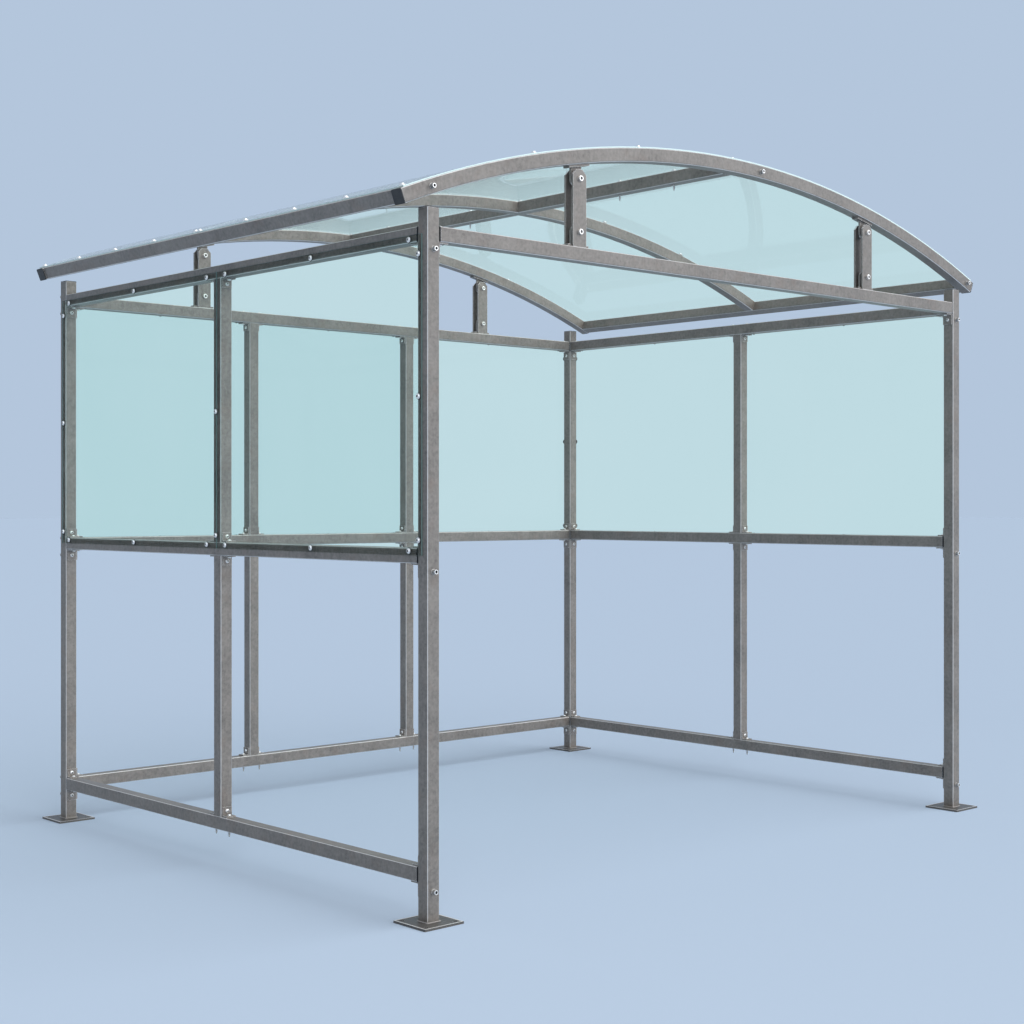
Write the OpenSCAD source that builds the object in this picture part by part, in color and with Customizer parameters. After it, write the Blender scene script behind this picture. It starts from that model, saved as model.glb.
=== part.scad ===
/* [Frame] */
// Spacing of the post centres along the open front
frame_l = 3000; // [2400:50:4800]
// Spacing of the post centres from front to back
frame_w = 2400; // [1500:50:3200]
// Height of a post above the ground
post_h = 2290; // [2000:10:2800]
// Height of the underside of the bottom rails
low_rail_z = 130; // [60:5:300]
// Height of the underside of the middle rails
mid_rail_z = 1150; // [800:10:1400]
// Height of the underside of the top rails
top_rail_z = 2180; // [1700:10:2230]
// Gap between a rail's plug and the post
rail_gap = 2; // [0:0.5:8]
// Bay of the back wall, repeated twice from the left
back_bay = 925; // [700:5:1400]

/* [Tube] */
// Side of the square tube
tube = 50; // [30:5:80]
// Wall of the square tube
tube_wall = 3; // [1.5:0.5:4]
// Radius of the square tube's outer corners
corner_r = 5; // [4.5:0.5:8]

/* [Foot plates] */
// Side of a square foot plate
foot_side = 160; // [110:5:260]
// Thickness of a foot plate
foot_t = 8; // [4:1:16]
// Spacing of the anchor holes along a side
foot_hole_pitch = 120; // [80:5:220]
// Diameter of an anchor hole
foot_hole_d = 14; // [8:1:22]

/* [Wall panels] */
// Thickness of a wall panel
panel_t = 5; // [3:0.5:10]
// Overlap of a panel onto the tube behind it
panel_lap = 24; // [10:1:24]

/* [Roof] */
// Radius of the arches' top face
arch_r = 4350; // [3200:50:9000]
// Gap between a post's capped top and the underside of the arch above it
arch_lift = 40; // [20:1:120]
// Reach of an arch's top corner beyond the post centres
arch_over = 132; // [90:5:300]
// Set-in of an eaves purlin's centre from the arches' ends
eaves_in = 27; // [25:1:120]
// Thickness of a roof sheet
sheet_t = 4; // [2:0.5:10]
// Set-in of a roof sheet's eaves edge from the arches' ends
sheet_eaves_in = 12; // [0:1:100]
// Clearance under a curved sheet
sheet_clear = 0.3; // [0.2:0.1:0.6]
// Clearance between a flat piece and an arch's curved underside
lug_clear = 0.6; // [0.4:0.1:1]
// Setback of a roof sheet from the arch's outer face
sheet_inset = 3; // [0:1:20]
// Gap between the two roof sheets
sheet_joint = 4; // [2:1:12]

/* [Fork struts] */
// Distance of a fork strut from the middle of the shelter
strut_x = 840; // [500:10:1200]
// Width of a strut plate
strut_w = 64; // [40:2:100]
// Thickness of a strut plate
strut_t = 7; // [4:1:12]
// Corner cut at the top of a strut plate
strut_chamfer = 18; // [5:1:24]
// Clear gap between the two plates of a strut
strut_slot = 30; // [16:1:36]
// Clearance from a strut plate's top to the arch
strut_top_clear = 14; // [8:1:30]
// Thickness of a lug's tongue and flange
lug_t = 8; // [5:1:12]
// Width of a lug's rounded tongue
lug_w = 50; // [30:2:60]
// Length of a lug's flange along the arch or rail
lug_flange_l = 100; // [60:5:140]
// Bolt distance from the rail and from the arch
strut_bolt_in = 52; // [36:1:70]
// Diameter of a strut bolt
strut_bolt_d = 12; // [8:1:16]
// Clearance around a strut bolt in its holes
strut_bolt_clear = 0.3; // [0.1:0.1:1]
// Diameter of a strut bolt's head
strut_head_d = 20; // [14:1:26]
// Height of a strut bolt's head
strut_head_h = 8; // [4:1:12]

/* [Cleats] */
// Leg of a cleat under a rail's end, along the rail
rail_cleat_leg = 40; // [26:1:90]
// Leg of a cleat under a rail's end, down the post
rail_cleat_drop = 46; // [26:1:90]
// Width of a rail cleat
rail_cleat_w = 40; // [20:2:50]
// Leg of a cleat at a stud's end, along the rail
stud_cleat_leg = 32; // [20:1:60]
// Leg of a cleat at a stud's end, up the stud
stud_cleat_rise = 36; // [20:1:60]
// Width of a stud cleat
stud_cleat_w = 40; // [20:2:50]
// Thickness of every cleat
cleat_t = 5; // [3:0.5:8]
// Diameter of the bolt holes in the cleats
cleat_hole_d = 9; // [5:0.5:12]

/* [Plugs] */
// Thickness of a plug's visible flange
plug_t = 4; // [2:0.5:8]
// Depth of a plug inside the tube
plug_depth = 18; // [8:1:40]
// Clearance between a plug and the tube's inside
plug_clear = 0.3; // [0.1:0.1:0.8]
// Thickness of a post's cap
cap_t = 3; // [2:0.5:8]

/* [Hidden] */

half_l = frame_l / 2;
half_w = frame_w / 2;
half_tube = tube / 2;
bore = tube - 2 * tube_wall;
cut = 1;
steel = [0.62, 0.61, 0.59];
plastic = [0.1, 0.1, 0.11];
bright = [0.86, 0.86, 0.88];
tint = [0.68, 0.86, 0.87, 0.4];

// clear distance between posts, and what a rail and its two plugs leave of it
rail_end = half_tube + rail_gap + plug_t;
rail_x = frame_l - 2 * rail_end;
rail_y = frame_w - 2 * rail_end;
rail_zs = [low_rail_z, mid_rail_z, top_rail_z];
top_face_z = top_rail_z + tube;

// studs: positions along their own walls
back_stud_left = -half_l + back_bay;
back_stud_right = -half_l + 2 * back_bay;

// arches: centre height, end angle and the angles of what sits on them
arch_cz = post_h + arch_lift - sqrt(pow(arch_r - tube, 2) - pow(half_l, 2));
arch_end = asin((half_l + arch_over) / arch_r);
arch_mid_r = arch_r - half_tube;
eaves_angle = arch_end - asin(eaves_in / arch_mid_r);
middle_end = eaves_angle - asin((half_tube + sheet_clear) / (arch_r - tube));
sheet_angle = arch_end - asin(sheet_eaves_in / arch_r);
arch_ys = [-half_w, 0, half_w];
purlin_l = half_w - tube;
eaves_purlin_l = frame_w - tube;
purlin_y = half_w / 2;

// fork struts: underside of the arch above them, and the bolt heights
strut_angle = asin(strut_x / arch_mid_r);
arch_under_z = arch_cz + (arch_r - tube) * cos(strut_angle);
strut_top_z = arch_under_z - strut_top_clear - strut_w / 2 * tan(strut_angle);
low_bolt_z = top_face_z + strut_bolt_in;
high_bolt_z = arch_under_z - strut_bolt_in;
strut_depth = strut_slot + 2 * strut_t;
strut_hole_d = strut_bolt_d + 2 * strut_bolt_clear;

// square with round corners
module round_square(side, r)
    union() {
        square([side, side - 2 * r], center = true);
        square([side - 2 * r, side], center = true);
        for (x = [-1, 1], y = [-1, 1])
            translate([x * (side / 2 - r), y * (side / 2 - r)])
                circle(r, $fn = 32);
    }

module tube_outline()
    round_square(tube, corner_r);

module bore_outline()
    round_square(bore, corner_r - tube_wall);

// square tube of a length along Z, standing on the origin
module tube_z(length)
    linear_extrude(length)
        difference() {
            tube_outline();
            bore_outline();
        }

// the same tube centred along X or Y
module tube_x(length)
    rotate([0, 90, 0])
        translate([0, 0, -length / 2])
            tube_z(length);

module tube_y(length)
    rotate([90, 0, 0])
        translate([0, 0, -length / 2])
            tube_z(length);

module foot_plate()
    difference() {
        linear_extrude(foot_t)
            square(foot_side, center = true);
        for (sx = [-1, 1], sy = [-1, 1])
            translate([sx * foot_hole_pitch / 2, sy * foot_hole_pitch / 2, -cut])
                cylinder(d = foot_hole_d, h = foot_t + 2 * cut, $fn = 48);
    }

// post with its welded foot plate
module post(sx, sy)
    color(steel)
        translate([sx * half_l, sy * half_w, 0])
            union() {
                foot_plate();
                translate([0, 0, foot_t])
                    tube_z(post_h - cap_t - foot_t);
            }

module rail_along_x(sy, z)
    color(steel)
        translate([0, sy * half_w, z + half_tube])
            tube_x(rail_x);

module rail_along_y(sx, z)
    color(steel)
        translate([sx * half_l, 0, z + half_tube])
            tube_y(rail_y);

// lower and upper stud in one line, between the rails
module studs_at(x, y)
    color(steel)
        for (i = [0, 1])
            translate([x, y, rail_zs[i] + tube])
                tube_z(rail_zs[i + 1] - rail_zs[i] - tube);

// section drawn at its radius, swept about the arches' centre line, in the XZ plane
module arc_sweep(end_angle)
    rotate([90, 0, 0])
        rotate([0, 0, 90 - end_angle])
            rotate_extrude(angle = 2 * end_angle, $fn = 720)
                children();

module arch(y, end_angle = arch_end)
    color(steel)
        translate([0, y, arch_cz])
            arc_sweep(end_angle)
                translate([arch_mid_r, 0])
                    difference() {
                        tube_outline();
                        bore_outline();
                    }

// places children on the arches' circle: local +Z points outwards along the radius
module on_arch(angle, radius = arch_mid_r)
    translate([0, 0, arch_cz])
        rotate([0, angle, 0])
            translate([0, 0, radius])
                children();

// one purlin along an eaves, past the middle arch, between the end arches
module eaves_purlin(angle)
    color(steel)
        on_arch(angle, arch_mid_r - sheet_clear)
            tube_y(eaves_purlin_l);

// two purlins in one line, each between two arches
module purlins_at(angle)
    color(steel)
        for (sy = [-1, 1])
            translate([0, sy * purlin_y, 0])
                on_arch(angle, arch_mid_r - sheet_clear)
                    tube_y(purlin_l);

// outline of a strut plate, standing on the rail
module strut_outline() {
    h = strut_top_z - top_face_z;
    polygon([
        [-strut_w / 2, 0], [strut_w / 2, 0],
        [strut_w / 2, h - strut_chamfer], [strut_w / 2 - strut_chamfer, h],
        [-strut_w / 2 + strut_chamfer, h], [-strut_w / 2, h - strut_chamfer]
    ]);
}

// two plates with bolt holes top and bottom
module strut(sx, sy)
    color(steel)
        translate([sx * strut_x, sy * half_w, 0])
            for (side = [-1, 1])
                translate([0, side * (strut_slot + strut_t) / 2, 0])
                    difference() {
                        translate([0, strut_t / 2, top_face_z])
                            rotate([90, 0, 0])
                                linear_extrude(strut_t)
                                    strut_outline();
                        strut_holes(strut_t + 2 * cut);
                    }

module strut_holes(depth)
    for (z = [low_bolt_z, high_bolt_z])
        translate([0, depth / 2, z])
            rotate([90, 0, 0])
                cylinder(d = strut_hole_d, h = depth, $fn = 48);

// tongue with a round end and a flange, drawn in XZ with the flange's face at z = 0
module lug(reach)
    union() {
        translate([0, 0, lug_t / 2])
            cube([lug_flange_l, strut_slot, lug_t], center = true);
        difference() {
            union() {
                translate([0, lug_t / 2, reach])
                    rotate([90, 0, 0])
                        cylinder(d = lug_w, h = lug_t, $fn = 64);
                translate([-lug_w / 2, -lug_t / 2, lug_t])
                    cube([lug_w, lug_t, reach - lug_t]);
            }
            translate([0, lug_t, reach])
                rotate([90, 0, 0])
                    cylinder(d = strut_hole_d, h = 2 * lug_t, $fn = 48);
        }
    }

module strut_lugs()
    color(steel)
        for (sx = [-1, 1], sy = [-1, 1])
            translate([sx * strut_x, sy * half_w, 0]) {
                translate([0, 0, top_face_z])
                    lug(strut_bolt_in);
                arch_lug(sx);
            }

// upper lug: its flange follows the arch, its tongue hangs plumb on the bolt
module arch_lug(sx) {
    drop = strut_bolt_in;
    union() {
        translate([-sx * strut_x, 0, 0])
            on_arch(sx * strut_angle, arch_r - tube - lug_t / 2 - lug_clear)
                cube([lug_flange_l, strut_slot, lug_t], center = true);
        difference() {
            translate([0, lug_t / 2, 0])
                rotate([90, 0, 0])
                    linear_extrude(lug_t)
                        lug_outline(sx, drop);
            translate([0, lug_t, high_bolt_z])
                rotate([90, 0, 0])
                    cylinder(d = strut_hole_d, h = 2 * lug_t, $fn = 48);
        }
    }
}

// round end about the bolt, with straight sides up into the tilted flange
module lug_outline(sx, drop) {
    fall = lug_w / 2 * tan(strut_angle);
    lift = drop - lug_t / 2 / cos(strut_angle) - lug_clear;
    translate([0, high_bolt_z])
        union() {
            circle(d = lug_w, $fn = 64);
            polygon([
                [-lug_w / 2, 0], [lug_w / 2, 0],
                [lug_w / 2, lift - sx * fall], [-lug_w / 2, lift + sx * fall]
            ]);
        }
}

// socket head, shank and nut through a fork strut
module strut_bolts()
    color(bright)
        for (sx = [-1, 1], sy = [-1, 1], z = [low_bolt_z, high_bolt_z])
            translate([sx * strut_x, sy * half_w, z])
                rotate([90, 0, 0]) {
                    cylinder(d = strut_bolt_d, h = strut_depth, center = true, $fn = 48);
                    for (side = [-1, 1])
                        translate([0, 0, side * (strut_depth + strut_head_h) / 2])
                            cylinder(d = strut_head_d, h = strut_head_h, center = true, $fn = 48);
                }

// panel between two uprights at a and b along a wall, lapping onto the tubes
module panel_plate(a, b)
    translate([a + half_tube - panel_lap, 0, mid_rail_z + tube - panel_lap])
        cube([
            b - a - tube + 2 * panel_lap, panel_t,
            top_rail_z - mid_rail_z - tube + 2 * panel_lap
        ]);

module back_panel(a, b)
    color(tint)
        translate([0, half_w + half_tube, 0])
            panel_plate(a, b);

module side_panel(sx, a, b)
    color(tint)
        translate([sx * (half_l + half_tube) + (sx > 0 ? panel_t : 0), 0, 0])
            rotate([0, 0, 90])
                panel_plate(a, b);

// curved sheet over one half of the roof
module roof_sheet(sy)
    let (
        inner = sheet_joint / 2,
        outer = half_w + half_tube - sheet_inset,
        r = arch_r + sheet_clear
    )
    color(tint)
        translate([0, sy * (inner + outer) / 2, arch_cz])
            arc_sweep(sheet_angle)
                translate([r, (inner - outer) / 2])
                    square([sheet_t, outer - inner]);

// angle cleat in the XZ plane: corner at the origin, legs along +X and -Z
module cleat(leg_x, leg_z, width)
    difference() {
        union() {
            translate([0, -width / 2, -cleat_t])
                cube([leg_x, width, cleat_t]);
            translate([0, -width / 2, -leg_z])
                cube([cleat_t, width, leg_z - cleat_t / 2]);
        }
        translate([leg_x - (leg_x - cleat_t) / 2, 0, -2 * cleat_t])
            cylinder(d = cleat_hole_d, h = 3 * cleat_t, $fn = 32);
        translate([-cleat_t, 0, -leg_z + (leg_z - cleat_t) / 2])
            rotate([0, 90, 0])
                cylinder(d = cleat_hole_d, h = 3 * cleat_t, $fn = 32);
    }

// cleats at both ends of a rail that lies along X above the origin
module rail_cleat_pair(span, above)
    for (a = [0, 180])
        rotate([0, 0, a])
            translate([-span / 2 + half_tube, 0, 0]) {
                cleat(rail_cleat_leg, rail_cleat_drop, rail_cleat_w);
                if (above)
                    translate([0, 0, tube])
                        mirror([0, 0, 1])
                            cleat(stud_cleat_leg, stud_cleat_rise, stud_cleat_w);
            }

module rail_cleats()
    color(steel) {
        translate([0, -half_w, top_rail_z])
            rail_cleat_pair(frame_l, false);
        for (z = rail_zs) {
            translate([0, half_w, z])
                rail_cleat_pair(frame_l, z < top_rail_z);
            for (sx = [-1, 1])
                translate([sx * half_l, 0, z])
                    rotate([0, 0, 90])
                        rail_cleat_pair(frame_w, z < top_rail_z);
        }
    }

// two cleats at each end of both studs in one line
module stud_cleat_set()
    for (i = [0, 1], a = [0, 180])
        rotate([0, 0, a]) {
            translate([half_tube, 0, rail_zs[i + 1]])
                cleat(stud_cleat_leg, stud_cleat_rise, stud_cleat_w);
            translate([half_tube, 0, rail_zs[i] + tube])
                mirror([0, 0, 1])
                    cleat(stud_cleat_leg, stud_cleat_rise, stud_cleat_w);
        }

module stud_cleats()
    color(steel) {
        for (x = [back_stud_left, back_stud_right])
            translate([x, half_w, 0])
                stud_cleat_set();
        for (sx = [-1, 1])
            translate([sx * half_l, 0, 0])
                rotate([0, 0, 90])
                    stud_cleat_set();
    }

module plug_body_outline()
    round_square(bore - 2 * plug_clear, corner_r - tube_wall);

// plug with its flange on the tube's end at the origin, pointing along +X
module plug()
    rotate([0, 90, 0])
        union() {
            linear_extrude(plug_t)
                tube_outline();
            translate([0, 0, -plug_depth])
                linear_extrude(plug_depth + plug_t / 2)
                    plug_body_outline();
        }

module rail_plug_pair(length)
    for (a = [0, 180])
        rotate([0, 0, a])
            translate([length / 2, 0, half_tube])
                plug();

module rail_end_plugs()
    color(plastic) {
        translate([0, -half_w, top_rail_z])
            rail_plug_pair(rail_x);
        for (z = rail_zs) {
            translate([0, half_w, z])
                rail_plug_pair(rail_x);
            for (sx = [-1, 1])
                translate([sx * half_l, 0, z])
                    rotate([0, 0, 90])
                        rail_plug_pair(rail_y);
        }
    }

module arch_end_plugs()
    color(plastic)
        for (y = [arch_ys[0], arch_ys[2]], sx = [-1, 1])
            translate([0, y, 0])
                on_arch(sx * arch_end)
                    rotate([0, 0, sx > 0 ? 0 : 180])
                        plug();

module post_caps()
    color(plastic)
        for (sx = [-1, 1], sy = [-1, 1])
            translate([sx * half_l, sy * half_w, post_h - cap_t])
                union() {
                    linear_extrude(cap_t)
                        tube_outline();
                    translate([0, 0, -plug_depth])
                        linear_extrude(plug_depth + cap_t / 2)
                            plug_body_outline();
                }

post(-1, -1);  // front_left_post
post(1, -1);  // front_right_post
post(-1, 1);  // back_left_post
post(1, 1);  // back_right_post
rail_along_x(-1, top_rail_z);  // front_top_rail
rail_along_y(-1, top_rail_z);  // left_top_rail
rail_along_y(-1, mid_rail_z);  // left_middle_rail
rail_along_y(-1, low_rail_z);  // left_bottom_rail
rail_along_x(1, top_rail_z);  // back_top_rail
rail_along_x(1, mid_rail_z);  // back_middle_rail
rail_along_x(1, low_rail_z);  // back_bottom_rail
rail_along_y(1, top_rail_z);  // right_top_rail
rail_along_y(1, mid_rail_z);  // right_middle_rail
rail_along_y(1, low_rail_z);  // right_bottom_rail
studs_at(-half_l, 0);  // left_studs
studs_at(half_l, 0);  // right_studs
studs_at(back_stud_left, half_w);  // back_studs_left
studs_at(back_stud_right, half_w);  // back_studs_right
arch(arch_ys[0]);  // front_arch
arch(arch_ys[1], middle_end);  // middle_arch
arch(arch_ys[2]);  // back_arch
eaves_purlin(-eaves_angle);  // left_eaves_purlins
purlins_at(0);  // ridge_purlins
eaves_purlin(eaves_angle);  // right_eaves_purlins
strut(-1, -1);  // front_left_strut
strut(1, -1);  // front_right_strut
strut(-1, 1);  // back_left_strut
strut(1, 1);  // back_right_strut
strut_lugs();
strut_bolts();
side_panel(-1, -half_w, 0);  // left_front_panel
side_panel(-1, 0, half_w);  // left_back_panel
back_panel(-half_l, back_stud_left);  // back_left_panel
back_panel(back_stud_left, back_stud_right);  // back_middle_panel
back_panel(back_stud_right, half_l);  // back_right_panel
side_panel(1, 0, half_w);  // right_back_panel
side_panel(1, -half_w, 0);  // right_front_panel
roof_sheet(-1);  // front_roof_sheet
roof_sheet(1);  // back_roof_sheet
rail_cleats();
stud_cleats();
rail_end_plugs();
arch_end_plugs();
post_caps();
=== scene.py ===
import math
import bmesh
import bpy
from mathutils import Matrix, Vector


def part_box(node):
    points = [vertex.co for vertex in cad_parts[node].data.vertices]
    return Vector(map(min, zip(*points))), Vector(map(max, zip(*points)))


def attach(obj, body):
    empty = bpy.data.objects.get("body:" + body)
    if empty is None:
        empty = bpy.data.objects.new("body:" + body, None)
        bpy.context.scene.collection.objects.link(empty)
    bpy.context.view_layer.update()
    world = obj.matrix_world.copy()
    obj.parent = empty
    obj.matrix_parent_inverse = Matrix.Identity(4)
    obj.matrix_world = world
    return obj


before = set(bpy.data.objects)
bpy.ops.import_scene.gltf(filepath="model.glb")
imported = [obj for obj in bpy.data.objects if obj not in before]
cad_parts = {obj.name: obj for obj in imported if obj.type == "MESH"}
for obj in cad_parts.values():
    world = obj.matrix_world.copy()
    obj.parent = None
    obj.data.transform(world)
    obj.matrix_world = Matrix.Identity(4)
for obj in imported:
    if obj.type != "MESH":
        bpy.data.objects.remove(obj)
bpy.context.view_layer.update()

print("frame loaded:", len(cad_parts), "nodes")

stageLook = {
    "backdrop": (0.456, 0.565, 0.716),      # floor and backdrop as the camera sees them
    "floorColour": (0.508, 0.630, 0.798),
    "floorNear": (0.550, 0.676, 0.846),     # painted light: a little lighter round the camera's side
    "sheenBehindGlass": (0.605, 0.756, 0.818),   # painted sheen: the paler backdrop that the glazing lets through
    "skyColour": (0.400, 0.402, 0.404),     # light from all round
    "keyStrength": 2.6,
    "keyFrom": (0.25, -0.75, 0.61),
    "keySoftness": 95.0,                    # degrees across
    "keyDistance": 8.0,
    "floorReach": 150.0,
    "nearPlace": (-2.6, -3.6, 0.0),         # the floor is floorNear here and floorColour far off
    "nearReach": 1.5,
    "nearFade": 6.5,
}

cameraLook = {
    "place": (-4.89299, -5.28754, 1.33751),
    "turn": 42.572,                          # degrees to the right of +Y
    "lens": 58.326,
    "sensor": 36.0,
    "shiftY": -0.00679,
    "farClip": 1000.0,
}

frameSizes = {
    "halfTube": 0.025,
    "archRadius": 4.350,
    "cleatThickness": 0.005,
    "railCleatHoleOut": 0.0225,
    "railCleatHoleDown": 0.0255,
    "smallCleatHoleOut": 0.0185,
    "smallCleatHoleUp": 0.0205,
    "plateTop": 0.008,
    "plateSlack": 0.0006,
    "plateInner": 0.0745,
}


# sums of node outputs are written as plain expressions
class Wire:
    def __init__(self, graph, socket):
        self.graph, self.socket = graph, socket

    def __add__(self, other): return self.graph.math("ADD", self, other)
    def __radd__(self, other): return self.graph.math("ADD", other, self)
    def __sub__(self, other): return self.graph.math("SUBTRACT", self, other)
    def __rsub__(self, other): return self.graph.math("SUBTRACT", other, self)
    def __mul__(self, other): return self.graph.math("MULTIPLY", self, other)
    def __rmul__(self, other): return self.graph.math("MULTIPLY", other, self)
    def __truediv__(self, other): return self.graph.math("DIVIDE", self, other)
    def __rtruediv__(self, other): return self.graph.math("DIVIDE", other, self)

    def size(self): return self.graph.math("ABSOLUTE", self)

    def held(self):         # kept between 0 and 1
        return self.graph.node("ShaderNodeMath", {"operation": "ADD", "use_clamp": True},
                               {0: self, 1: 0.0})


class Graph:
    def __init__(self, tree):
        self.tree = tree
        tree.nodes.clear()

    def node(self, kind, settings=None, inputs=None, output=0):
        made = self.tree.nodes.new(kind)
        for key, value in (settings or {}).items():
            setattr(made, key, value)
        for key, value in (inputs or {}).items():
            if isinstance(value, Wire):
                self.tree.links.new(value.socket, made.inputs[key])
            else:
                made.inputs[key].default_value = value
        return Wire(self, made.outputs[output])

    def math(self, operation, *values):
        return self.node("ShaderNodeMath", {"operation": operation}, dict(enumerate(values)))

    def blend(self, factor, first, second):
        pair = [colour if isinstance(colour, Wire) else (*colour, 1.0) for colour in (first, second)]
        return self.node("ShaderNodeMix", {"data_type": "RGBA"},
                         {0: factor, 6: pair[0], 7: pair[1]}, 2)

    def noise(self, place, scale, detail=4.0, roughness=0.55):
        return self.node("ShaderNodeTexNoise", None,
                         {"Vector": place, "Scale": scale, "Detail": detail, "Roughness": roughness})

    def stretched(self, place, scale):
        return self.node("ShaderNodeMapping", None, {"Vector": place, "Scale": scale})

    def parts(self, vector):
        return [self.node("ShaderNodeSeparateXYZ", None, {0: vector}, i) for i in range(3)]

    def ray(self, label):
        return self.node("ShaderNodeLightPath", None, None, label)

    def bump(self, height, strength, distance):
        return self.node("ShaderNodeBump", None,
                         {"Height": height, "Strength": strength, "Distance": distance})

    def end(self, kind, shader):
        out = self.tree.nodes.new(kind)
        self.tree.links.new(shader.socket, out.inputs["Surface"])


def newFinish(name):
    material = bpy.data.materials.new(name)
    material.use_nodes = True
    g = Graph(material.node_tree)
    return material, g, g.node("ShaderNodeTexCoord", None, None, "Object")


def makeWorld(look):
    world = bpy.data.worlds.new("softStudio")
    world.use_nodes = True
    bpy.context.scene.world = world
    g = Graph(world.node_tree)
    seen = g.math("MAXIMUM", g.ray("Is Camera Ray"), g.ray("Is Glossy Ray"))
    colour = g.blend(seen, look["skyColour"], look["backdrop"])
    # painted sheen: transmission rays see the paler backdrop
    colour = g.blend(g.ray("Is Transmission Ray"), colour, look["sheenBehindGlass"])
    g.end("ShaderNodeOutputWorld",
          g.node("ShaderNodeBackground", None, {"Color": colour, "Strength": 1.0}))


def makeFloor(look):
    reach = look["floorReach"]
    mesh = bpy.data.meshes.new("floor")
    corners = [(-reach, -reach, 0), (reach, -reach, 0), (reach, reach, 0), (-reach, reach, 0)]
    mesh.from_pydata(corners, [], [(0, 1, 2, 3)])
    floor = bpy.data.objects.new("floor", mesh)
    bpy.context.scene.collection.objects.link(floor)
    material, g, place = newFinish("floorPaper")
    # painted light: the floor is lighter round nearPlace and fades to floorColour further off
    away = g.node("ShaderNodeVectorMath", {"operation": "DISTANCE"}, {0: place, 1: look["nearPlace"]}, 1)
    near = (1.0 - (away - look["nearReach"]) / look["nearFade"]).held()
    colour = g.blend(near, look["floorColour"], look["floorNear"])
    plain = g.node("ShaderNodeBsdfDiffuse", None, {"Color": colour})
    # painted sheen: seen through the glazing, the floor shows the paler backdrop
    through = g.node("ShaderNodeEmission", None, {"Color": (*look["sheenBehindGlass"], 1.0)})
    g.end("ShaderNodeOutputMaterial",
          g.node("ShaderNodeMixShader", None, {0: g.ray("Is Transmission Ray"), 1: plain, 2: through}))
    mesh.materials.append(material)


def makeKey(look):
    lamp = bpy.data.lights.new("keyLight", "SUN")
    lamp.energy = look["keyStrength"]
    lamp.angle = math.radians(look["keySoftness"])
    key = bpy.data.objects.new("keyLight", lamp)
    key.rotation_euler = Vector(look["keyFrom"]).to_track_quat("Z", "Y").to_euler()
    key.location = Vector(look["keyFrom"]) * look["keyDistance"]
    bpy.context.scene.collection.objects.link(key)


def makeCamera(look):
    lens = bpy.data.cameras.new("viewCamera")
    lens.lens, lens.sensor_width, lens.shift_y = look["lens"], look["sensor"], look["shiftY"]
    lens.clip_end = look["farClip"]
    camera = bpy.data.objects.new("viewCamera", lens)
    camera.location = look["place"]
    camera.rotation_euler = (math.pi / 2, 0, -math.radians(look["turn"]))
    bpy.context.scene.collection.objects.link(camera)
    bpy.context.scene.camera = camera


bpy.context.scene.view_settings.view_transform = "Standard"
makeWorld(stageLook)
makeFloor(stageLook)
makeKey(stageLook)
makeCamera(cameraLook)
print("stage, light and camera ready")

zincLook = {
    "pale": (0.290, 0.262, 0.236),
    "dusky": (0.150, 0.135, 0.122),
    "brown": (0.200, 0.148, 0.120),
    "flake": (0.370, 0.342, 0.312),
    # painted highlight: the near-white colour laid on corners and on the foot plates' rim tops
    "paintedHighlight": (0.950, 0.930, 0.910),
    "shade": (0.085, 0.080, 0.076),
    "cloudScale": 6.0,
    "mottleScale": 72.0,
    "spangleScale": 120.0,
    "gritScale": 420.0,
    "edgeRadius": 0.0022,
    "edgeAmount": 0.95,
    "flakeAmount": 0.26,
    "stainAmount": 0.38,
    "plateAmount": 0.80,
    "roughness": 0.36,
    "metallic": 0.38,
    "bump": 0.32,
}


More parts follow.
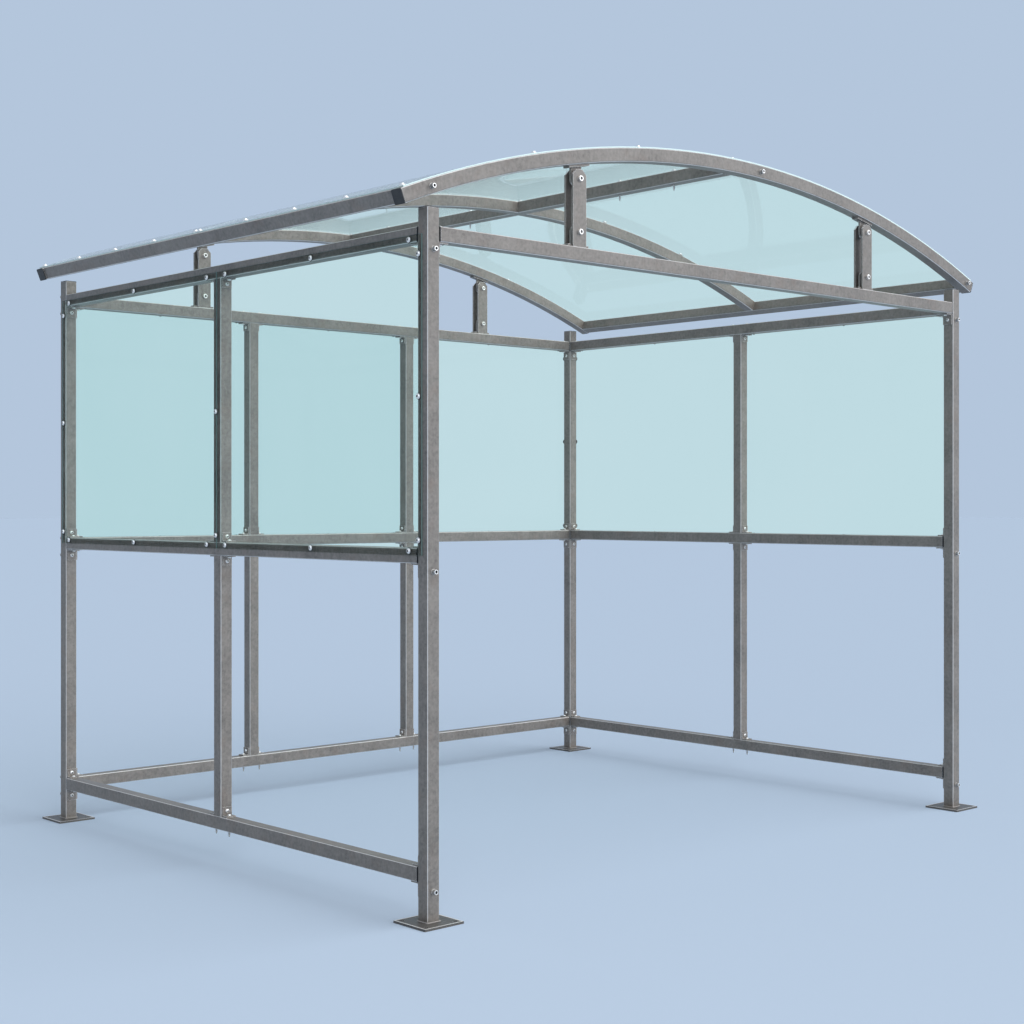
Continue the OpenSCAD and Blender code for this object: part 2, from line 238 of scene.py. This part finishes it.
def zincFinish(name, look, footPlates=None):
    material, g, place = newFinish(name)
    cloud = g.noise(place, look["cloudScale"], 6.0, 0.62)
    blotch = g.noise(place, look["cloudScale"] * 2.3, 5.0, 0.6)
    mottle = g.noise(place, look["mottleScale"], 5.0, 0.6)
    grit = g.noise(place, look["gritScale"], 2.0, 0.5)
    runs = g.noise(g.stretched(place, (1.0, 1.0, 0.09)), look["mottleScale"] * 1.8, 3.0, 0.5)
    cells = g.node("ShaderNodeTexVoronoi", None,
                   {"Vector": place, "Scale": look["spangleScale"]}, "Color")
    spangle = g.node("ShaderNodeSeparateColor", None, {0: cells})
    tone = ((cloud * 0.42 + mottle * 0.43 + runs * 0.15 - 0.38) / 0.25).held()
    stain = ((blotch - 0.54) * 6.0).held()
    base = g.blend(tone, look["dusky"], look["pale"])
    base = g.blend(spangle * look["flakeAmount"], base, look["flake"])
    base = g.blend(stain * look["stainAmount"], base, look["brown"])
    # painted highlight on corners: plate edges are found by the bevel, rounded tube corners by their slant
    normal = g.node("ShaderNodeNewGeometry", None, None, "Normal")
    rounded = g.node("ShaderNodeBevel", {"samples": 4}, {"Radius": look["edgeRadius"]})
    level = g.node("ShaderNodeVectorMath", {"operation": "DOT_PRODUCT"}, {0: rounded, 1: normal}, 1)
    nx, ny, nz = [part.size() for part in g.parts(normal)]
    slant = ((1.0 - g.math("MAXIMUM", g.math("MAXIMUM", nx, ny), nz) - 0.09) * 6.0).held()
    edge = g.math("MAXIMUM", ((1.0 - level) * 3.4).held(), slant) * (0.75 + mottle * 0.5)
    edge = (edge * look["edgeAmount"]).held()
    base = g.blend(edge, base, look["paintedHighlight"])
    if footPlates:          # the plates' bevelled rims get a painted highlight on top and painted shade on their sides, and their middles get painted shade
        x, y, z = g.parts(place)
        reach = g.math("MAXIMUM", (x.size() - footPlates[0]).size(), (y.size() - footPlates[1]).size())
        low = g.math("LESS_THAN", z, frameSizes["plateTop"] + frameSizes["plateSlack"])
        rim = g.math("GREATER_THAN", reach, frameSizes["plateInner"]) * low
        base = g.blend((low - rim).held() * 0.72, base, look["shade"])
        upward = g.math("GREATER_THAN", nz, 0.5)
        base = g.blend(rim * upward * look["plateAmount"], base, look["paintedHighlight"])
        base = g.blend(rim * (1.0 - upward) * look["plateAmount"], base, look["shade"])
    rough = look["roughness"] + tone * 0.14 + spangle * 0.09 - edge * 0.08
    metallic = look["metallic"] - stain * 0.22
    relief = g.bump(mottle * 0.5 + spangle * 0.3 + grit * 0.35, look["bump"], 0.0008)
    g.end("ShaderNodeOutputMaterial", g.node("ShaderNodeBsdfPrincipled", None, {
        "Base Color": base, "Roughness": rough, "Metallic": metallic, "Normal": relief}))
    return material


boltLook = {
    "bright": (1.000, 0.965, 0.920),
    "dull": (0.820, 0.790, 0.750),
    # painted shade: the near-black colour for sockets, thread grooves and the sides of socket heads
    "socket": (0.030, 0.029, 0.028),
    "grainScale": 700.0,
    "patchScale": 90.0,
    "roughness": 0.20,
    "metallic": 0.80,
}


def boltFinish(name, look):
    material, g, place = newFinish(name)
    grain = g.noise(place, look["grainScale"], 3.0, 0.6)
    patch = g.noise(place, look["patchScale"], 3.0, 0.5)
    # painted shade in sockets, thread grooves and on head sides, read from the heads' attribute
    paintedShade = g.node("ShaderNodeAttribute", {"attribute_name": "paintedShade"}, None, "Fac").held()
    base = g.blend((grain * 0.6 + patch * 0.6 - 0.25).held(), look["bright"], look["dull"])
    base = g.blend(paintedShade * 0.92, base, look["socket"])
    rough = look["roughness"] + grain * 0.16 + paintedShade * 0.3
    metallic = look["metallic"] - paintedShade * 0.4
    g.end("ShaderNodeOutputMaterial", g.node("ShaderNodeBsdfPrincipled", None, {
        "Base Color": base, "Roughness": rough, "Metallic": metallic, "Normal": g.bump(grain, 0.15, 0.0002)}))
    return material


plasticLook = {
    "black": (0.020, 0.020, 0.021),
    "faded": (0.046, 0.045, 0.044),
    "grainScale": 520.0,
    "dustScale": 26.0,
}


def plasticFinish(name, look, roughness):
    material, g, place = newFinish(name)
    grain = g.noise(place, look["grainScale"], 3.0, 0.6)
    dust = g.noise(place, look["dustScale"], 4.0, 0.6)
    base = g.blend(((dust - 0.35) * 2.0).held(), look["black"], look["faded"])
    rough = roughness + grain * 0.14 - dust * 0.08
    g.end("ShaderNodeOutputMaterial", g.node("ShaderNodeBsdfPrincipled", None, {
        "Base Color": base, "Roughness": rough, "Normal": g.bump(grain, 0.3, 0.0003)}))
    return material


glazingLook = {
    "tint": (0.870, 0.940, 0.935),
    "deepTint": (0.850, 0.930, 0.924),
    "rimTint": (0.620, 0.860, 0.820),
    "shadowTint": (0.950, 0.980, 0.978, 1.0),
    # painted highlight: the pale colour of the roof sheets' cut edges (the walls set their own dark
    # rimColour)
    "rimColour": (0.740, 0.900, 0.880, 1.0),
    "ior": 1.07,
    "roughness": 0.012,
    "cloudScale": 1.7,
    "smearScale": 9.0,
    "rippleScale": 2.6,
}


def glazingFinish(name, look, faceAxis):
    material, g, place = newFinish(name)
    cloud = g.noise(place, look["cloudScale"], 4.0, 0.55)
    smear = g.noise(g.stretched(place, (1.0, 1.0, 0.35)), look["smearScale"], 5.0, 0.6)
    ripple = g.noise(place, look["rippleScale"], 2.0, 0.4)
    normal = g.node("ShaderNodeNewGeometry", None, None, "Normal")
    rim = g.math("LESS_THAN", g.parts(normal)[faceAxis].size(), 0.5)
    tint = g.blend(((cloud - 0.3) * 2.0).held(), look["tint"], look["deepTint"])
    tint = g.blend(rim, tint, look["rimTint"])
    rough = look["roughness"] + ((smear - 0.45) * 0.12).held() + rim * 0.22
    body = g.node("ShaderNodeBsdfPrincipled", None, {
        "Base Color": tint, "Roughness": rough, "IOR": look["ior"], "Transmission Weight": 1.0,
        "Normal": g.bump(ripple, 0.05, 0.0006)})
    # the cut edges are opaque in rimColour, which on the roof sheets is a pale painted highlight and on the
    # walls is dark
    rimShader = g.node("ShaderNodeBsdfPrincipled", None, {
        "Base Color": look["rimColour"], "Roughness": 0.3 + smear * 0.2,
        "Normal": g.bump(smear, 0.2, 0.0003)})
    body = g.node("ShaderNodeMixShader", None, {0: rim, 1: body, 2: rimShader})
    clear = g.node("ShaderNodeBsdfTransparent", None, {"Color": look["shadowTint"]})
    passing = g.math("MAXIMUM", g.ray("Is Shadow Ray"), g.ray("Is Diffuse Ray"))
    g.end("ShaderNodeOutputMaterial", g.node("ShaderNodeMixShader", None, {0: passing, 1: body, 2: clear}))
    return material


def middle(name):
    low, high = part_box(name)
    return [(low[i] + high[i]) / 2 for i in range(3)]


postReach = [abs(n) for n in middle("front_right_post")[:2]]
steel = zincFinish("galvanisedSteel", zincLook)
footSteel = zincFinish("galvanisedPosts", zincLook, postReach)
weldLook = dict(zincLook, metallic=0.4, bump=0.6, mottleScale=160.0, edgeAmount=0.25)
weldSteel = zincFinish("galvanisedWeld", weldLook)
brightBolt = boltFinish("brightFasteners", boltLook)
blackPlastic = plasticFinish("blackPlastic", plasticLook, 0.42)
blackRubber = plasticFinish("blackRubber", plasticLook, 0.66)
wallLook = dict(glazingLook, rimColour=(0.150, 0.230, 0.225, 1.0))       # the walls' edges are dark
sideGlazing = glazingFinish("sideGlazing", wallLook, 0)
backGlazing = glazingFinish("backGlazing", wallLook, 1)
roofGlazing = glazingFinish("roofGlazing", glazingLook, 2)


def finishFor(name):
    if "roof_sheet" in name:
        return roofGlazing
    if name.endswith("_panel"):
        return backGlazing if name.startswith("back_") else sideGlazing
    if name.endswith(("_plugs", "_caps")):
        return blackPlastic
    if name == "strut_bolts":
        return brightBolt
    return footSteel if name.endswith("_post") else steel


for nodeName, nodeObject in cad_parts.items():
    for materialSlot in nodeObject.material_slots:
        materialSlot.material = finishFor(nodeName)
print("finishes on", len(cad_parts), "nodes")


# a turned head from rings of (radius, height, sides, painted shade), with sides 0 for a round ring; the
# painted shade darkens the colour in sockets, thread grooves and on head sides
def turned(name, rings, segments):
    bm = bmesh.new()
    paintedShade = bm.verts.layers.float.new("paintedShade")
    loops = []
    for radius, height, sides, depth in rings:
        loop = []
        for step in range(segments if radius > 0 else 1):
            turn = 2 * math.pi * step / segments
            reach = radius
            if sides:
                half = math.pi / sides
                reach = radius * math.cos(half) / math.cos(turn % (2 * half) - half)
            vert = bm.verts.new((reach * math.cos(turn), reach * math.sin(turn), height))
            vert[paintedShade] = depth
            loop.append(vert)
        loops.append(loop)
    for lower, upper in zip(loops, loops[1:]):
        for step in range(segments):
            after = (step + 1) % segments
            if len(upper) == 1:
                bm.faces.new((lower[step], lower[after], upper[0]))
            else:
                bm.faces.new((lower[step], lower[after], upper[after], upper[step]))
    bm.faces.new(list(reversed(loops[0])))
    bmesh.ops.recalc_face_normals(bm, faces=bm.faces[:])
    mesh = bpy.data.meshes.new(name)
    bm.to_mesh(mesh)
    bm.free()
    head = bpy.data.objects.new(name, mesh)
    bpy.context.scene.collection.objects.link(head)
    return head


# one tree sets a head on every marked spot, turned to face the spot's way
def makeSettingTree(seed):
    tree = bpy.data.node_groups.new("headsOnSpots", "GeometryNodeTree")
    face = tree.interface
    face.new_socket(name="Spots", in_out="INPUT", socket_type="NodeSocketGeometry")
    inputs = {}
    for label, kind in (("Head", "NodeSocketObject"), ("Finish", "NodeSocketMaterial"),
                        ("Head Size", "NodeSocketFloat"), ("Most Turn", "NodeSocketFloat")):
        inputs[label] = face.new_socket(name=label, in_out="INPUT", socket_type=kind).identifier
    face.new_socket(name="Heads", in_out="OUTPUT", socket_type="NodeSocketGeometry")
    nodes, link = tree.nodes, tree.links.new
    source, sink = nodes.new("NodeGroupInput"), nodes.new("NodeGroupOutput")
    head = nodes.new("GeometryNodeObjectInfo")
    link(source.outputs["Head"], head.inputs["Object"])
    facing = nodes.new("GeometryNodeInputNamedAttribute")
    facing.data_type = "FLOAT_VECTOR"
    facing.inputs["Name"].default_value = "facing"
    aligned = nodes.new("FunctionNodeAlignRotationToVector")
    aligned.axis = "Z"
    link(facing.outputs[0], aligned.inputs["Vector"])
    chance = nodes.new("FunctionNodeRandomValue")
    chance.data_type = "FLOAT"
    chance.inputs[2].default_value = 0.0
    chance.inputs["Seed"].default_value = seed
    link(source.outputs["Most Turn"], chance.inputs[3])
    spin = nodes.new("FunctionNodeAxisAngleToRotation")
    link(chance.outputs[1], spin.inputs["Angle"])
    both = nodes.new("FunctionNodeRotateRotation")
    both.rotation_space = "LOCAL"
    link(aligned.outputs[0], both.inputs[0])
    link(spin.outputs[0], both.inputs[1])
    setOn = nodes.new("GeometryNodeInstanceOnPoints")
    link(source.outputs["Spots"], setOn.inputs["Points"])
    link(head.outputs["Geometry"], setOn.inputs["Instance"])
    link(both.outputs[0], setOn.inputs["Rotation"])
    link(source.outputs["Head Size"], setOn.inputs["Scale"])
    real = nodes.new("GeometryNodeRealizeInstances")
    link(setOn.outputs["Instances"], real.inputs["Geometry"])
    paint = nodes.new("GeometryNodeSetMaterial")
    link(real.outputs["Geometry"], paint.inputs["Geometry"])
    link(source.outputs["Finish"], paint.inputs["Material"])
    link(paint.outputs["Geometry"], sink.inputs["Heads"])
    return tree, inputs


settingTree, settingInputs = makeSettingTree(7)


def setHeads(name, spots, head, finish, headSize=1.0, mostTurn=6.283, smoothTo=38):
    mesh = bpy.data.meshes.new(name + "Spots")
    mesh.from_pydata([tuple(spot) for spot, way in spots], [], [])
    facing = mesh.attributes.new("facing", "FLOAT_VECTOR", "POINT")
    facing.data.foreach_set("vector", [float(n) for spot, way in spots for n in way])
    piece = bpy.data.objects.new(name, mesh)
    bpy.context.scene.collection.objects.link(piece)
    modifier = piece.modifiers.new("headsOnSpots", "NODES")
    modifier.node_group = settingTree
    modifier[settingInputs["Head"]] = head
    modifier[settingInputs["Finish"]] = finish
    modifier[settingInputs["Head Size"]] = headSize
    modifier[settingInputs["Most Turn"]] = mostTurn
    depsgraph = bpy.context.evaluated_depsgraph_get()
    solid = bpy.data.meshes.new_from_object(piece.evaluated_get(depsgraph), depsgraph=depsgraph)
    piece.modifiers.clear()
    piece.data = solid
    solid.name = name
    if not len(solid.materials):
        solid.materials.append(finish)
    for polygon in solid.polygons:
        polygon.use_smooth = True
    solid.set_sharp_from_angle(angle=math.radians(smoothTo))
    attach(piece, "root")
    print(name, len(spots), "set,", len(solid.polygons), "faces")
    return piece


# the hex key in each dome head gets painted shade
def domeRings(look):
    flange, dome, height, key = (look[part] for part in ("flange", "dome", "height", "key"))
    return [(flange, 0, 0, 0), (flange, height * 0.20, 0, 0), (flange * 0.93, height * 0.28, 0, 0),
            (dome, height * 0.34, 0, 0), (dome * 0.94, height * 0.62, 0, 0),
            (dome * 0.78, height * 0.88, 0, 0), (dome * 0.60, height, 0, 0),
            (key * 1.12, height, 6, 0.35), (key, height * 0.92, 6, 1.0),
            (key * 0.94, height * 0.45, 6, 1.0), (0, height * 0.42, 0, 1.0)]


# panel bolts on rubber washers: three along each panel's top and bottom edge, columns at posts and joints
panelBolt = {
    "flange": 0.0094, "dome": 0.0078, "height": 0.0060, "key": 0.0036,
    "rubber": 0.0112, "rubberHeight": 0.0014,
    "fromEdge": 0.014, "fromEnd": 0.0615, "columnIn": 0.013,
    "columnLevels": (2.140, 1.685, 1.225), "jointLevels": (1.685, 1.225),
}
rubber, rubberHeight = panelBolt["rubber"], panelBolt["rubberHeight"]
panelHead = turned("panelHead", domeRings(panelBolt), 24)
rubberHead = turned("rubberHead", [
    (rubber, 0, 0, 0), (rubber, rubberHeight * 0.7, 0, 0),
    (rubber * 0.95, rubberHeight, 0, 0), (0, rubberHeight, 0, 0)], 20)


def panelSpots(wall, along, outward):
    across = 1 - along
    panels = [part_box(name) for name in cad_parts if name.startswith(wall) and name.endswith("_panel")]
    panels.sort(key=lambda box: box[0][along])
    face = panels[0][1][across] if sum(outward) > 0 else panels[0][0][across]
    firstEdge, lastEdge = panels[0][0][along], panels[-1][1][along]
    marks = []          # how far along the wall, and how high
    for low, high in panels:
        for level in (low[2] + panelBolt["fromEdge"], high[2] - panelBolt["fromEdge"]):
            marks += [(low[along] + panelBolt["fromEnd"], level), ((low[along] + high[along]) / 2, level),
                      (high[along] - panelBolt["fromEnd"], level)]
    for column in (firstEdge + panelBolt["columnIn"], lastEdge - panelBolt["columnIn"]):
        marks += [(column, level) for level in panelBolt["columnLevels"]]
    for first, second in zip(panels, panels[1:]):
        joint = (first[1][along] + second[0][along]) / 2
        marks += [(joint, level) for level in panelBolt["jointLevels"]]
    return [((face, mark, level) if along == 1 else (mark, face, level), outward) for mark, level in marks]


wallSpots = (panelSpots("left", 1, (-1, 0, 0)) + panelSpots("right", 1, (1, 0, 0))
             + panelSpots("back", 0, (0, 1, 0)))
liftedSpots = [(tuple(spot[i] + way[i] * rubberHeight for i in range(3)), way) for spot, way in wallSpots]
setHeads("panel_washers", wallSpots, rubberHead, blackRubber)
setHeads("panel_bolt_heads", liftedSpots, panelHead, brightBolt)

# bolts on the angle cleats, socket bolts through the posts, and screw points under the bottom rails
cleatBolt = {"flange": 0.0078, "dome": 0.0062, "height": 0.0052, "key": 0.0030}
cleatHead = turned("cleatHead", domeRings(cleatBolt), 12)
socketBolt = {
    "radius": 0.0082, "height": 0.0145, "key": 0.0048, "keyDepth": 0.0080,
    "aside": 0.012,             # off the rail's line, on the back face
    "upperBolt": 0.046,         # above the rail's underside
    "archAngles": (-20.4, 1.9, 21.5),
}
drillTip = {"radius": 0.0042, "length": 0.0260, "threads": 6}


# the socket head's flange and sides get painted shade, and its hex key the darkest
def socketRings(look):
    radius, height, key, depth = (look[part] for part in ("radius", "height", "key", "keyDepth"))
    return [(radius * 1.20, 0, 0, 0.5), (radius * 1.20, 0.0012, 0, 0.5), (radius * 1.14, 0.0016, 0, 0.5),
            (radius, 0.0017, 0, 0.7), (radius, height * 0.86, 0, 0.6), (radius * 0.97, height * 0.94, 0, 0),
            (radius * 0.90, height, 0, 0), (key * 1.15, height, 6, 0), (key, height * 0.95, 6, 1.0),
            (key, height - depth, 6, 1.0), (0, height - depth - 0.0008, 0, 1.0)]


def tipRings(look):         # a few rounds of thread, then the drill point, with painted shade in the thread grooves
    radius, length = look["radius"], look["length"]
    rings = [(radius * 0.8, 0, 0, 0.3)]
    for turnIndex in range(look["threads"]):
        level = length * (0.04 + 0.11 * turnIndex)
        rings += [(radius * 0.78, level, 0, 0.5), (radius, level + length * 0.05, 0, 0.1)]
    return rings + [(radius * 0.74, length * 0.74, 0, 0.3), (radius * 0.66, length * 0.84, 0, 0.4),
                    (0, length, 0, 0.2)]


socketHead = turned("socketHead", socketRings(socketBolt), 24)
tipHead = turned("tipHead", tipRings(drillTip), 10)

half = frameSizes["halfTube"]
thick = frameSizes["cleatThickness"]
holeUp, holeOut = frameSizes["smallCleatHoleUp"], frameSizes["smallCleatHoleOut"]
railHoleDown, railHoleOut = frameSizes["railCleatHoleDown"], frameSizes["railCleatHoleOut"]
cleatSpots, postSpots, tipSpots = [], [], []
upward, downward = (0, 0, 1), (0, 0, -1)


def markRail(name):
    low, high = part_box(name)
    along = 0 if high[0] - low[0] > high[1] - low[1] else 1
    line = (low[1 - along] + high[1 - along]) / 2
    under, top = low[2], high[2]

    def at(reach, level, aside=0.0):
        return (reach, line + aside, level) if along == 0 else (line + aside, reach, level)

    def way(sign):
        return (sign, 0, 0) if along == 0 else (0, sign, 0)

    for sign in (-1, 1):
        face = sign * (postReach[along] - half)
        cleatSpots.append((at(face - sign * thick, under - railHoleDown), way(-sign)))
        cleatSpots.append((at(face - sign * railHoleOut, under - thick), downward))
        if "_top_" in name:
            cleatSpots.append((at(face - sign * railHoleOut, top), upward))
        else:
            cleatSpots.append((at(face - sign * thick, top + holeUp), way(-sign)))
            cleatSpots.append((at(face - sign * holeOut, top + thick), upward))
        if along == 1:          # side rails are bolted through the posts from outside
            outerFace = sign * (postReach[1] + half)
            if sign < 0:
                postSpots.append((at(outerFace, under - railHoleDown), way(sign)))
            else:
                aside = math.copysign(socketBolt["aside"], line)
                postSpots.append((at(outerFace, under - railHoleDown, aside), way(sign)))
                postSpots.append((at(outerFace, under + socketBolt["upperBolt"], aside), way(sign)))
    wall = name.split("_")[0]
    for stud in [middle(n)[along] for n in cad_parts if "_studs" in n and n.startswith(wall)]:
        for sign in (-1, 1):
            hole, leg = stud + sign * (half + holeOut), stud + sign * (half + thick)
            if "_bottom_" in name or "_middle_" in name:
                cleatSpots.append((at(hole, top + thick), upward))
                cleatSpots.append((at(leg, top + holeUp), way(sign)))
            if "_middle_" in name or "_top_" in name:
                cleatSpots.append((at(hole, under - thick), downward))
                cleatSpots.append((at(leg, under - holeUp), way(sign)))
            if "_top_" in name:
                cleatSpots.append((at(hole, top), upward))
            if "_bottom_" in name:
                tipSpots.append((at(hole, under), downward))


for railName in [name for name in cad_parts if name.endswith("_rail")]:
    markRail(railName)
setHeads("cleat_bolt_heads", cleatSpots, cleatHead, brightBolt)

# socket bolts where the purlins meet the front and back arches
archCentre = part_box("front_arch")[1][2] - frameSizes["archRadius"]
for degrees in socketBolt["archAngles"]:
    x, z = math.sin(math.radians(degrees)), math.cos(math.radians(degrees))
    radius = frameSizes["archRadius"] - half
    for name, sign in (("front_arch", -1), ("back_arch", 1)):
        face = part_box(name)[0 if sign < 0 else 1][1]
        postSpots.append(((x * radius, face, archCentre + z * radius), (0, sign, 0)))
setHeads("socket_bolt_heads", postSpots, socketHead, brightBolt)

# roof bolts along the purlins and arches, with their points below the ridge purlins
roofBolt = {
    "flange": 0.0120, "dome": 0.0086, "height": 0.0078, "key": 0.0034,
    "alongSheet": (1.200, 0.905, 0.610, 0.315, 0.014), "ridge": (0.905, 0.610, 0.315),
    "archAngles": (-13.8, -6.9, 0.0, 6.9, 13.8), "jointOut": 0.014,
}
roofHead = turned("roofHead", domeRings(roofBolt), 18)
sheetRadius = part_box("front_roof_sheet")[1][2] - archCentre
underRadius = frameSizes["archRadius"] - 2 * half
eavesPurlin = middle("right_eaves_purlins")
eavesAngle = math.atan2(eavesPurlin[0], eavesPurlin[2] - archCentre)


def overRoof(angle, y, radius, turn=1):
    x, z = math.sin(angle), math.cos(angle)
    return (x * radius, y, archCentre + z * radius), (x * turn, 0, z * turn)


roofSpots = []
for side in (-1, 1):
    for angle in (-eavesAngle, eavesAngle):
        roofSpots += [overRoof(angle, side * y, sheetRadius) for y in roofBolt["alongSheet"]]
    roofSpots += [overRoof(0.0, side * y, sheetRadius) for y in roofBolt["ridge"]]
    tipSpots += [overRoof(0.0, side * y, underRadius, -1) for y in roofBolt["ridge"]]
    for degrees in roofBolt["archAngles"]:
        for y in (postReach[1], roofBolt["jointOut"]):
            roofSpots.append(overRoof(math.radians(degrees), side * y, sheetRadius))
setHeads("roof_bolt_heads", roofSpots, roofHead, brightBolt)
setHeads("screw_points", tipSpots, tipHead, brightBolt)

# a flange and a socket on each end of the struts' bolts, with painted shade in the socket
strutSocket = {"rings": [
    (0.0098, 0, 0, 0), (0.0098, 0.0006, 0, 0), (0.0090, 0.0014, 0, 0), (0.0064, 0.0016, 0, 0),
    (0.0058, 0.0014, 6, 0.6), (0.0056, 0.0004, 6, 1.0), (0, 0.0003, 0, 1.0)]}
capHead = turned("capHead", strutSocket["rings"], 24)
levelBetween = middle("strut_bolts")[2]
boltPoints = [vert.co.copy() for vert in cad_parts["strut_bolts"].data.vertices]
capSpots = []
for sideX in (-1, 1):
    for sideY in (-1, 1):
        for upper in (False, True):
            bolt = [p for p in boltPoints
                    if p.x * sideX > 0 and p.y * sideY > 0 and (p.z > levelBetween) == upper]
            x = (min(p.x for p in bolt) + max(p.x for p in bolt)) / 2
            z = (min(p.z for p in bolt) + max(p.z for p in bolt)) / 2
            capSpots.append(((x, min(p.y for p in bolt), z), (0, -1, 0)))
            capSpots.append(((x, max(p.y for p in bolt), z), (0, 1, 0)))
setHeads("strut_bolt_sockets", capSpots, capHead, brightBolt)

# weld beads round each post where it stands on its plate
weldBead = {"radius": 0.0036, "spacing": 0.0034, "out": 0.0010, "sunk": 0.0004, "lean": (0.6, 0.8)}
beadRadius = weldBead["radius"]
beadHead = turned("beadHead", [
    (beadRadius, 0, 0, 0), (beadRadius * 0.93, beadRadius * 0.36, 0, 0),
    (beadRadius * 0.6, beadRadius * 0.66, 0, 0), (0, beadRadius * 0.78, 0, 0)], 9)
reach = half + weldBead["out"]
beadCount = int(2 * reach / weldBead["spacing"])
beadLevel = frameSizes["plateTop"] - weldBead["sunk"]
leanOut, leanUp = weldBead["lean"]
beadSpots = []
for postX, postY in [(sideX * postReach[0], sideY * postReach[1]) for sideX in (-1, 1) for sideY in (-1, 1)]:
    for side in range(4):
        cosine, sine = math.cos(side * math.pi / 2), math.sin(side * math.pi / 2)
        for step in range(beadCount):
            along = -reach + 2 * reach * (step + 0.5) / beadCount
            spot = (postX + reach * cosine - along * sine, postY + reach * sine + along * cosine, beadLevel)
            beadSpots.append((spot, (cosine * leanOut, sine * leanOut, leanUp)))
setHeads("post_weld_beads", beadSpots, beadHead, weldSteel)

for helper in (panelHead, rubberHead, socketHead, cleatHead, roofHead, capHead, tipHead, beadHead):
    bpy.data.objects.remove(helper)
print("fasteners and welds in place")
